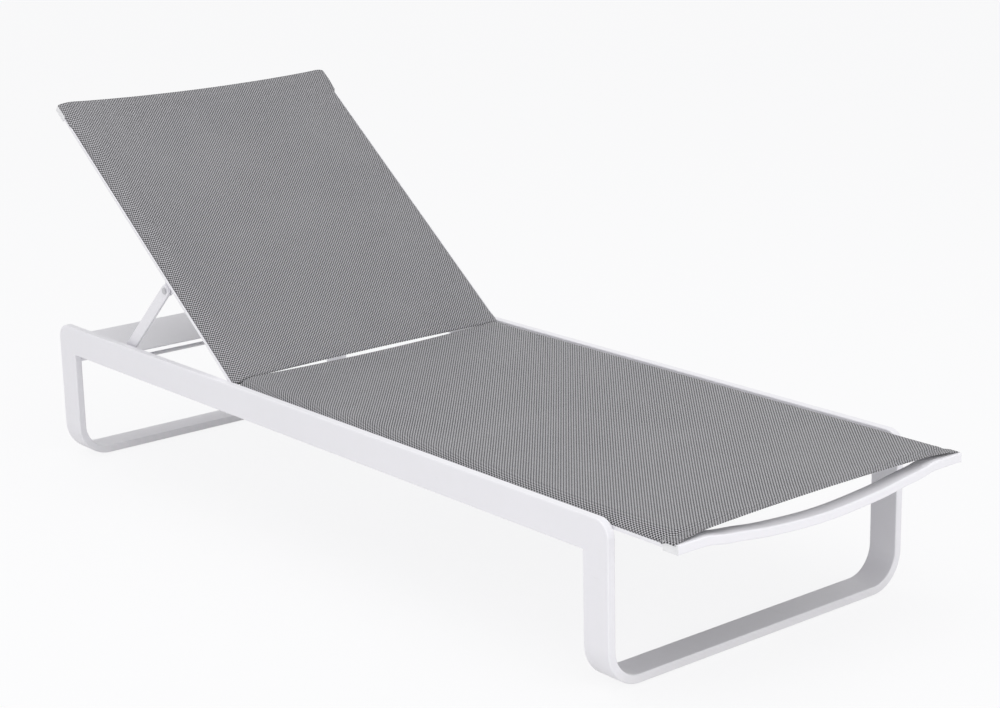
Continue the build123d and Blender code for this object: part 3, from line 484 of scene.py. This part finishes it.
class Sling:
    """A stretched cloth, its folded hems and their stitches on one body.

    start and end are the hems' places along the sling at its sides, and start_bow
    and bow how far each is hollowed at the middle. hem is the cloth's level over
    the crossbar, where it starts to fall and the power of that fall. cell is the
    weave's cell across and along, sag the dip at the middle, corner how far the
    outer corners reach on, and turn where the cloth goes from tube to crossbar.
    """

    def __init__(self, name, body, axes, rests_on, start, start_bow, end, bow, hem, cell, sag, corner, turn):
        self.name, self.body, self.axes, self.rests_on = name, body, axes, rests_on
        self.start, self.start_bow = start, start_bow
        self.end, self.bow = end, bow
        self.tube, self.hem = tube_section(), hem_section(*hem)
        self.cell, self.sag, self.corner, self.turn = cell, sag, corner, turn
        self.flip = axes[0].cross(ACROSS).dot(axes[1]) < 0
        flat = np.linspace(0.0, FLAT_SHARE, COLUMNS)[:-1]
        curved = np.linspace(FLAT_SHARE, 1.0, COLUMNS)
        half = np.concatenate([flat, curved])
        self.shares = np.concatenate([-half[:0:-1], half])

    def outer_line(self, y):
        """Distance along the sling of its outer hem, bowed inwards."""
        across = np.clip(np.abs(y) / SLING_OUTSIDE, 0.0, 1.0)
        return self.end - self.bow * (1 - across**2) + self.corner * across**HEM_CORNER_POWER

    def inner_line(self, y):
        """Distance along the sling of its inner hem, bowed the other way."""
        return self.start + self.start_bow * (1 - (y / SLING_OUTSIDE) ** 2)

    def surface(self, distance, share, offset):
        """World points in millimetres on the cloth's middle line, lifted by offset."""
        blend = smooth_step((distance - self.turn[0]) / (self.turn[1] - self.turn[0]))
        first, second = self.tube.at(share), self.hem.at(share)
        y, n, ny, nn = [(1 - blend) * a + blend * b for a, b in zip(first, second)]
        flare = smooth_step((np.abs(share) - FLARE_START_SHARE) / FLARE_SPAN_SHARE) * (1 - blend)
        flare = flare * smooth_step((distance - self.turn[0] + FLARE_RUN) / FLARE_RUN)
        y, n = y + FLARE_OUT * flare * np.sign(share), n + FLARE_UP * flare
        size = np.hypot(ny, nn)
        lift = offset + HEM_RAISE * self.near_hem(distance, y)
        y = y + lift * ny / size
        n = n + lift * nn / size
        n = n - self.sag * (1 - blend) * np.clip(1 - (y / CREST_Y) ** 2, 0.0, 1.0)
        direction, normal = [np.array(v) for v in self.axes]
        return (
            np.array(HINGE)
            + distance[..., None] * direction
            + y[..., None] * np.array(ACROSS)
            + n[..., None] * normal
        )

    def near_hem(self, distance, y):
        """1 over the layers of a hem and 0 away from it, less at the outer hem's sides."""
        inner = 1 - smooth_step((distance - self.inner_line(y) - HEM_WIDTH) / HEM_FADE)
        outer = smooth_step((distance - self.outer_line(y) + HEM_WIDTH + HEM_FADE) / HEM_FADE)
        side = smooth_step((np.abs(y) - HEM_SIDE_Y) / HEM_SIDE_FADE)
        return inner + outer * (1 - HEM_SIDE_LOSS_SHARE * side)

    def hem_distance(self, share, back_from_edge, outer):
        y = (self.hem if outer else self.tube).at(share)[0]
        if outer:
            return self.outer_line(y) - back_from_edge
        return self.inner_line(y) + back_from_edge

    def build_cloth(self):
        shares = self.shares
        last_body_row = self.end - self.bow - HEM_ZONE
        first = self.hem_distance(shares, 0.0, False)
        first_body_row = self.start + self.start_bow + HEM_ZONE
        rows = [first + (first_body_row - first) * k for k in np.linspace(0.0, 1.0, INNER_ROWS)[:-1]]
        count = int((last_body_row - first_body_row) / ROW_STEP)
        rows += [np.full(shares.shape, d) for d in np.linspace(first_body_row, last_body_row, count)[:-1]]
        line = self.hem_distance(shares, 0.0, True)
        rows += [last_body_row + (line - last_body_row) * k for k in np.linspace(0.0, 1.0, OUTER_ROWS)]
        distance = np.array(rows)
        share = np.tile(shares, (len(rows), 1))
        points = self.surface(distance, share, 0.0).reshape(-1, 3)
        faces = grid_faces(len(rows), len(shares), self.flip)
        return self.make_fabric(self.name, points, faces, share.ravel(), distance.ravel())

    def make_fabric(self, name, points, faces, share, along):
        """A cloth piece with its weave laid out in cells, thickened both ways."""
        piece = make_piece(name, points, faces, fabric, self.body)
        layer = piece.data.uv_layers.new(name="weave")
        width = self.tube.lengths[-1]
        for loop in piece.data.loops:
            k = loop.vertex_index
            layer.data[loop.index].uv = (share[k] * width / self.cell[0], along[k] / self.cell[1])
        solid = piece.modifiers.new("thickness", "SOLIDIFY")
        solid.thickness = CLOTH * MM
        solid.offset = 0.0
        return piece

    def build_hem(self, name, outer):
        """Cloth folded back under itself along one end."""
        limit = 1.0 if outer else INNER_HEM_SHARE
        shares = self.shares[np.abs(self.shares) <= limit]
        turn = LAYER_STEP / 2
        profile = [
            (-turn * math.sin(a), -turn * (1 - math.cos(a)))
            for a in np.linspace(0.0, math.pi, FOLD_STEPS)
        ]
        profile += [(d, -LAYER_STEP) for d in np.linspace(0.0, HEM_WIDTH, FOLD_STEPS)[1:]]
        distance = np.array([self.hem_distance(shares, back, outer) for back, _ in profile])
        share = np.tile(shares, (len(profile), 1))
        offset = np.array([[depth] * len(shares) for _, depth in profile])
        points = self.surface(distance, share, offset).reshape(-1, 3)
        faces = grid_faces(len(profile), len(shares), self.flip == outer)
        travel = np.cumsum([0.0] + [math.dist(a, b) for a, b in zip(profile, profile[1:])])
        ends = self.hem_distance(shares, 0.0, outer)
        sign = 1 if outer else -1
        along = np.array([ends + sign * t for t in travel])
        return self.make_fabric(name, points, faces, share.ravel(), along.ravel())

    def build_stitches(self, name, outer):
        """Two rows of lockstitch along a hem, each stitch a small rounded bead."""
        width = self.tube.lengths[-1]
        reach = STITCH_WIDTH_SHARE * width
        half_pitch = 0.5
        points, faces = [], []
        for row, back in enumerate(STITCH_ROWS):
            for index in range(int(2 * reach / STITCH_PITCH)):
                middle = -reach + (index + half_pitch + STITCH_ROW_SHIFT * row) * STITCH_PITCH
                if abs(middle) > reach:
                    continue
                base = len(points)
                for place, swell in STITCH_RINGS:
                    share = np.array([(middle + place * STITCH_LENGTH) / width])
                    distance = self.hem_distance(share, back, outer)
                    sink = THREAD * (4 * place**2) * STITCH_SINK
                    low = CLOTH / 2 + THREAD * THREAD_LIFT_SHARE - sink
                    centre = self.surface(distance, share, low)[0]
                    above = self.surface(distance, share, low + THREAD)[0]
                    up = Vector(above - centre).normalized()
                    for k in range(STITCH_SIDES):
                        a = 2 * math.pi * k / STITCH_SIDES
                        ring = up * math.sin(a) + self.axes[0] * math.cos(a)
                        points.append(Vector(centre) + ring * THREAD * swell)
                last = base + (len(STITCH_RINGS) - 1) * STITCH_SIDES
                for start in range(base, last, STITCH_SIDES):
                    for k in range(STITCH_SIDES):
                        a = start + k
                        b = start + (k + 1) % STITCH_SIDES
                        faces.append((a, b, b + STITCH_SIDES, a + STITCH_SIDES))
                faces.append(tuple(base + k for k in range(STITCH_SIDES))[::-1])
                faces.append(tuple(last + k for k in range(STITCH_SIDES)))
        return make_piece(name, points, faces, thread, self.body)

    def build(self, node, ends):
        cloth = self.build_cloth()
        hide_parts(node)
        for end, outer in ends:
            self.build_hem(f"{end}_hem", outer)
            self.build_stitches(f"{end}_hem_stitches", outer)


seat = Sling(
    "seat_fabric",
    "frame",
    SEAT_AXES,
    rests_on=["seat_tube_left", "seat_tube_right"],
    start=11.0,
    start_bow=14.0,
    end=1214.5,
    bow=13.0,
    hem=(14.0, 262.0, 2.0),
    cell=(3.0, 3.4),
    sag=2.0,
    corner=1.0,
    turn=(1185.5, 1197.5),
)
seat.build("seat_sling", (("seat_foot", True), ("seat_rear", False)))

back = Sling(
    "back_fabric",
    "backrest",
    BACK_AXES,
    rests_on=["back_tube_left", "back_tube_right"],
    start=2.5,
    start_bow=5.5,
    end=773.0,
    bow=12.0,
    hem=(17.0, 296.0, 2.6),
    cell=(3.0, 3.0),
    sag=1.2,
    corner=4.5,
    turn=(722.0, 744.0),
)
back.build("back_sling", (("back_head", True), ("back_lower", False)))


def circle(centre, first, second, radius):
    return [
        centre + (first * math.cos(a) + second * math.sin(a)) * radius
        for a in np.linspace(0.0, 2 * math.pi, WELD_POINTS, endpoint=False)
    ]


def spreader_welds(name, body, axes, reaches, seed):
    """Lumpy weld beads round both ends of the spreaders under a sling."""
    points, faces = [], []
    for reach in reaches:
        for side in (1, -1):
            centre = HINGE + axes[0] * reach + ACROSS * side * (SLING_INSIDE - WELD_INSET)
            line = circle(centre, *axes, SPREADER_RADIUS + WELD_STAND)
            count = len(line)
            base = len(points)
            for k, p in enumerate(line):
                tangent = (line[(k + 1) % count] - line[k - 1]).normalized()
                first = tangent.orthogonal().normalized()
                if k:
                    first = (last - tangent * last.dot(tangent)).normalized()
                last = first
                second = tangent.cross(first)
                wave = WELD_WAVE * math.sin(k * WELD_WAVE_TURN + seed)
                lump = 1 + wave + WELD_LUMPS * noise.noise(p * WELD_LUMP_SCALE)
                for j in range(WELD_SIDES):
                    a = 2 * math.pi * j / WELD_SIDES
                    ring = first * math.cos(a) + second * math.sin(a)
                    points.append(p + ring * WELD_RADIUS * lump)
            for k in range(count):
                here = base + k * WELD_SIDES
                ahead = base + (k + 1) % count * WELD_SIDES
                for j in range(WELD_SIDES):
                    beside = (j + 1) % WELD_SIDES
                    faces.append((here + j, here + beside, ahead + beside, ahead + j))
    make_piece(name, points, faces, paint, body)


spreader_welds("seat_spreader_welds", "frame", SEAT_AXES, SEAT_SPREADERS, seed=0.0)
spreader_welds("back_spreader_welds", "backrest", BACK_AXES, BACK_SPREADERS, seed=1.7)

# Light: colours, strengths and places in metres
WORLD_LIGHT = 0.64
BACKGROUND = 0.975
FLOOR_REACH = 40.0
FLOOR_COLOUR = 0.84
FLOOR_ROUGHNESS = 0.9
FLOOR_SHADE = 0.12
FLOOR_GLOW = (0.992, 0.992, 1.0)


def background_rays(tree):
    """1 for the rays that see the background itself, 0 for those that light things."""
    path = tree.nodes.new("ShaderNodeLightPath")
    total = path.outputs["Is Camera Ray"]
    for name in ("Is Glossy Ray", "Is Transmission Ray"):
        node = tree.nodes.new("ShaderNodeMath")
        node.operation = "MAXIMUM"
        tree.links.new(total, node.inputs[0])
        tree.links.new(path.outputs[name], node.inputs[1])
        total = node.outputs[0]
    return total


def choose(tree, factor, first, second, output):
    """Show the second shader where the factor is 1 and the first where it is 0."""
    choice = tree.nodes.new("ShaderNodeMixShader")
    for value, socket in zip((factor, first.outputs[0], second.outputs[0]), choice.inputs):
        tree.links.new(value, socket)
    tree.links.new(choice.outputs[0], output.inputs["Surface"])


world = bpy.data.worlds.new("studio")
bpy.context.scene.world = world
world.use_nodes = True
tree = world.node_tree
tree.nodes.clear()
shown = tree.nodes.new("ShaderNodeBackground")
shown.inputs["Color"].default_value = rgb(BACKGROUND, BACKGROUND, BACKGROUND)
ambient = tree.nodes.new("ShaderNodeBackground")
ambient.inputs["Color"].default_value = rgb(1.0, 1.0, 1.0)
ambient.inputs["Strength"].default_value = WORLD_LIGHT
choose(tree, background_rays(tree), ambient, shown, tree.nodes.new("ShaderNodeOutputWorld"))

floor_mesh = bpy.data.meshes.new("floor")
corners = [(-1, -1), (1, -1), (1, 1), (-1, 1)]
floor_mesh.from_pydata([(x * FLOOR_REACH, y * FLOOR_REACH, 0) for x, y in corners], [], [(0, 1, 2, 3)])
floor = bpy.data.objects.new("floor", floor_mesh)
bpy.context.scene.collection.objects.link(floor)
floor_paint = Shader("studio_floor")
floor_paint.set(Base_Color=rgb(FLOOR_COLOUR, FLOOR_COLOUR, FLOOR_COLOUR), Roughness=FLOOR_ROUGHNESS)
glow = floor_paint.tree.nodes.new("ShaderNodeEmission")
glow.inputs["Color"].default_value = rgb(*FLOOR_GLOW)
seen = floor_paint.math("MULTIPLY", background_rays(floor_paint.tree), 1 - FLOOR_SHADE)
choose(floor_paint.tree, seen, floor_paint.surface, glow, floor_paint.output)
floor_mesh.materials.append(floor_paint.material)


def area_lamp(name, location, target, size, power):
    data = bpy.data.lights.new(name, "AREA")
    data.shape = "RECTANGLE"
    data.size, data.size_y = size
    data.energy = power
    lamp = bpy.data.objects.new(name, data)
    lamp.location = location
    direction = Vector(target) - Vector(location)
    lamp.rotation_euler = direction.to_track_quat("-Z", "Y").to_euler()
    bpy.context.scene.collection.objects.link(lamp)


area_lamp("top_softbox", (0.4, -0.6, 4.2), target=(0.0, 0.0, 0.2), size=(5.0, 4.0), power=66.0)
area_lamp("side_softbox", (0.2, -4.6, 1.9), target=(0.0, 0.0, 0.3), size=(5.0, 2.6), power=33.0)
area_lamp("front_softbox", (4.6, -0.4, 0.95), target=(0.3, 0.0, 0.2), size=(4.6, 1.8), power=46.0)

# Camera at the photograph's place
CAMERA_PLACE = Vector((3.2522, -2.5954, 1.4794))
AZIMUTH = math.radians(50.425)
ELEVATION = math.radians(15.310)
ROLL = math.radians(-1.1405)
FOCAL_PIXELS = 2255.474
IMAGE_WIDTH = 1000
SENSOR = 36.0
CLIP_START = 0.1
CLIP_END = 200.0

camera_data = bpy.data.cameras.new("camera")
camera_data.sensor_width = SENSOR
camera_data.lens = FOCAL_PIXELS * SENSOR / IMAGE_WIDTH
camera_data.clip_start = CLIP_START
camera_data.clip_end = CLIP_END
camera = bpy.data.objects.new("camera", camera_data)
bpy.context.scene.collection.objects.link(camera)
right = Vector((math.cos(AZIMUTH), math.sin(AZIMUTH), 0))
forward = Vector(
    (
        -math.sin(AZIMUTH) * math.cos(ELEVATION),
        math.cos(AZIMUTH) * math.cos(ELEVATION),
        -math.sin(ELEVATION),
    )
)
up = right.cross(forward)
rolled_right = right * math.cos(ROLL) + up * math.sin(ROLL)
rolled_up = up * math.cos(ROLL) - right * math.sin(ROLL)
turned = Matrix((rolled_right, rolled_up, -forward)).transposed()
camera.matrix_world = Matrix.Translation(CAMERA_PLACE) @ turned.to_4x4()
bpy.context.scene.camera = camera
bpy.context.scene.view_settings.view_transform = "Standard"
